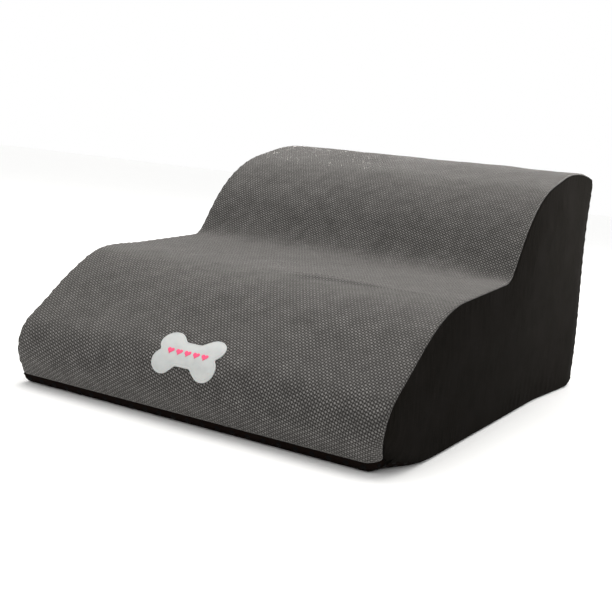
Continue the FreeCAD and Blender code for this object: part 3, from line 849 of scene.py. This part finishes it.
make_tape("tape_upper", "zip_tape_upper")
make_tape("tape_lower", "zip_tape_lower")
make_coil("coil_upper", "zip_coil_upper", 0.0)
make_coil("coil_lower", "zip_coil_lower", 0.5)
for node, material in (("zip_slider", METAL), ("zip_pull", METAL), ("zip_top_stops", COIL),
                       ("zip_bottom_stop", COIL)):
    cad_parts[node].data.materials.clear()
    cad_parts[node].data.materials.append(material)


# ---------------------------------------------------------------- patch
def on_top(x, s, height):
    """Points a height above the top cover, at x across and s along it."""
    column = np.clip(np.interp(x, TOP_XS, np.arange(len(TOP_XS))), 0, len(TOP_XS) - 1.001)
    row = np.clip(np.interp(s, TOP_US, np.arange(len(TOP_US))), 0, len(TOP_US) - 1.001)
    i, j = column.astype(int), row.astype(int)
    a, b = (column - i)[..., None], (row - j)[..., None]

    def between(field):
        near = field[i, j] * (1 - b) + field[i, j + 1] * b
        far = field[i + 1, j] * (1 - b) + field[i + 1, j + 1] * b
        return near * (1 - a) + far * a

    return between(TOP_GRID) + between(TOP_NORMALS) * np.asarray(height)[..., None]


def stuck_on(outline, rings, centre):
    """Points and faces of a flat moulding on the top cover. The outline is (x, s) about its own middle, and each
    ring is (how far in, share of the way to the middle, height)."""
    run = np.roll(outline, -1, 0) - np.roll(outline, 1, 0)
    run /= np.hypot(*run.T)[:, None]
    inward = np.stack([-run[:, 1], run[:, 0]], 1)
    rows = []
    for inset, share, height in rings:
        place = (outline + inward * inset) * (1 - share) + centre
        rows.append(on_top(place[:, 0], place[:, 1], np.full(len(place), height)))
    count = len(outline)
    at = np.arange(len(rows) * count).reshape(len(rows), count)
    onward = np.roll(at, -1, axis=1)
    walls = np.stack([at[:-1], onward[:-1], onward[1:], at[1:]], -1).reshape(-1, 4).tolist()
    return np.vstack(rows), walls + [at[0, ::-1].tolist(), at[-1].tolist()]


def ray_outline(inside, reach, count):
    """The outline of a shape round its middle, as the furthest point along each ray that is inside it."""
    far = np.arange(0.2, reach, 0.05)
    angle = np.arange(count) * TURN / count
    x, s = far * np.cos(angle)[:, None], far * np.sin(angle)[:, None]
    hit = inside(x, s)
    radius = np.array([far[np.flatnonzero(row)[-1]] for row in hit])
    weights = np.exp(-0.5 * (np.arange(-6, 7) / 2.0) ** 2)
    weights /= weights.sum()
    radius = np.convolve(np.concatenate([radius[-6:], radius, radius[:6]]), weights, "valid")
    return np.stack([radius * np.cos(angle), radius * np.sin(angle)], 1)


LOBE, LOBE_X, LOBE_S, WAIST = 12.2, 21.9, 10.3, 13.2
PATCH_LOW, PATCH_HIGH = (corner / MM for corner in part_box("bone_patch"))
patch_mid = np.array([(PATCH_LOW.y + PATCH_HIGH.y) / 2, (PATCH_LOW.z + PATCH_HIGH.z) / 2])
PATCH_AT = np.array([(PATCH_LOW.x + PATCH_HIGH.x) / 2,
                     RING_AT[np.square(RING - patch_mid).sum(1).argmin()]])


def in_bone(x, s):
    lobes = np.hypot(abs(x) - LOBE_X, abs(s) - LOBE_S) < LOBE
    return lobes | ((abs(x) < LOBE_X) & (abs(s) < WAIST))


def make_patch():
    bone = ray_outline(in_bone, reach=45, count=320)
    rings = [(3.0, 0, -0.3), (0.6, 0, -0.3), (0, 0, 0.15), (0, 0, 0.6), (0.15, 0, 0.95), (0.45, 0, 1.18),
             (0.9, 0, 1.28), (1.5, 0, 1.3), (1.8, 0, 1.1), (2.1, 0, 1.08), (2.4, 0, 1.28), (3.0, 0, 1.32)]
    rings += [(3.0, share, 1.32) for share in (0.08, 0.2, 0.35, 0.5, 0.65, 0.8, 0.92)]
    points, faces = stuck_on(bone, rings, PATCH_AT)
    piece = finish_mesh("bone_patch_moulded", points, faces, PATCH)
    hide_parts("bone_patch")


def make_hearts():
    low, high = (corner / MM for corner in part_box("patch_print"))
    pitch, hearts = 9.2, 5
    width = high.x - low.x - pitch * (hearts - 1)
    turn = np.linspace(0, TURN, 72, endpoint=False)
    x = 16 * np.sin(turn) ** 3
    s = 13 * np.cos(turn) - 5 * np.cos(2 * turn) - 2 * np.cos(3 * turn) - np.cos(4 * turn)
    heart = (np.stack([x, s + 2.5], 1) * width / 32)[::-1]
    rings = [(0, 0, 1.2), (0, 0, 1.45), (0.1, 0, 1.6), (0.3, 0, 1.68), (0.3, 0.25, 1.72), (0.3, 0.6, 1.74)]
    middle = (hearts - 1) / 2
    parts = [stuck_on(heart, rings, PATCH_AT + ((k - middle) * pitch, 0)) for k in range(hearts)]
    piece = finish_mesh("patch_hearts", *joined(parts), PRINT)
    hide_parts("patch_print")


make_patch()
make_hearts()


# ---------------------------------------------------------------- stage, light and camera
def make_floor():
    mesh = bpy.data.meshes.new("floor")
    reach = 40.0
    mesh.from_pydata([(-reach, -reach, 0), (reach, -reach, 0), (reach, reach, 0), (-reach, reach, 0)], [],
                     [(0, 1, 2, 3)])
    mesh.materials.append(painted_floor())
    floor = bpy.data.objects.new("floor", mesh)
    bpy.context.scene.collection.objects.link(floor)


def make_softbox(name, place, aim, size, power, colour, spread=180):
    """A round lamp: sizes in metres, power in watts and spread in degrees."""
    data = bpy.data.lights.new(name, "AREA")
    data.shape, data.size, data.energy, data.color = "DISK", size, power, linear(colour)[:3]
    data.spread = math.radians(spread)
    lamp = bpy.data.objects.new(name, data)
    lamp.location = place
    lamp.rotation_euler = (Vector(aim) - Vector(place)).to_track_quat("-Z", "Y").to_euler()
    bpy.context.scene.collection.objects.link(lamp)


def make_room():
    """A plain white room, lit evenly from all round."""
    world = bpy.data.worlds.new("white_room")
    bpy.context.scene.world = world
    world.use_nodes = True
    tree = world.node_tree
    tree.nodes.clear()
    white = add(tree, "Background", {"Color": linear("#ffffff"), "Strength": 1.0})
    add(tree, "OutputWorld", {"Surface": white})


def make_camera():
    data = bpy.data.cameras.new("camera")
    data.lens, data.sensor_width = 56.208, 36.0
    data.clip_start, data.clip_end = 0.02, 200.0
    camera = bpy.data.objects.new("camera", data)
    right = (0.87378703, 0.47284243, 0.11364972)
    up = (-0.16340043, 0.06535198, 0.98439292)
    back = (0.45803551, -0.87872018, 0.13436637)
    place = (0.47184, -0.99329, 0.23479)
    camera.matrix_world = Matrix([*zip(right, up, back, place), (0, 0, 0, 1)])
    bpy.context.scene.collection.objects.link(camera)
    bpy.context.scene.camera = camera


make_floor()
make_room()
make_softbox("softbox_above", place=(-0.1, 0.45, 2.6), aim=(0, 0.05, 0.1), size=3.0, power=62, colour="#fffdfa")
make_softbox("softbox_behind", place=(1.3, 0.75, 0.40), aim=(0.2, 0.27, 0.27), size=0.4, power=1.1,
             colour="#ffffff", spread=26)
make_camera()
bpy.context.scene.view_settings.view_transform = "Standard"
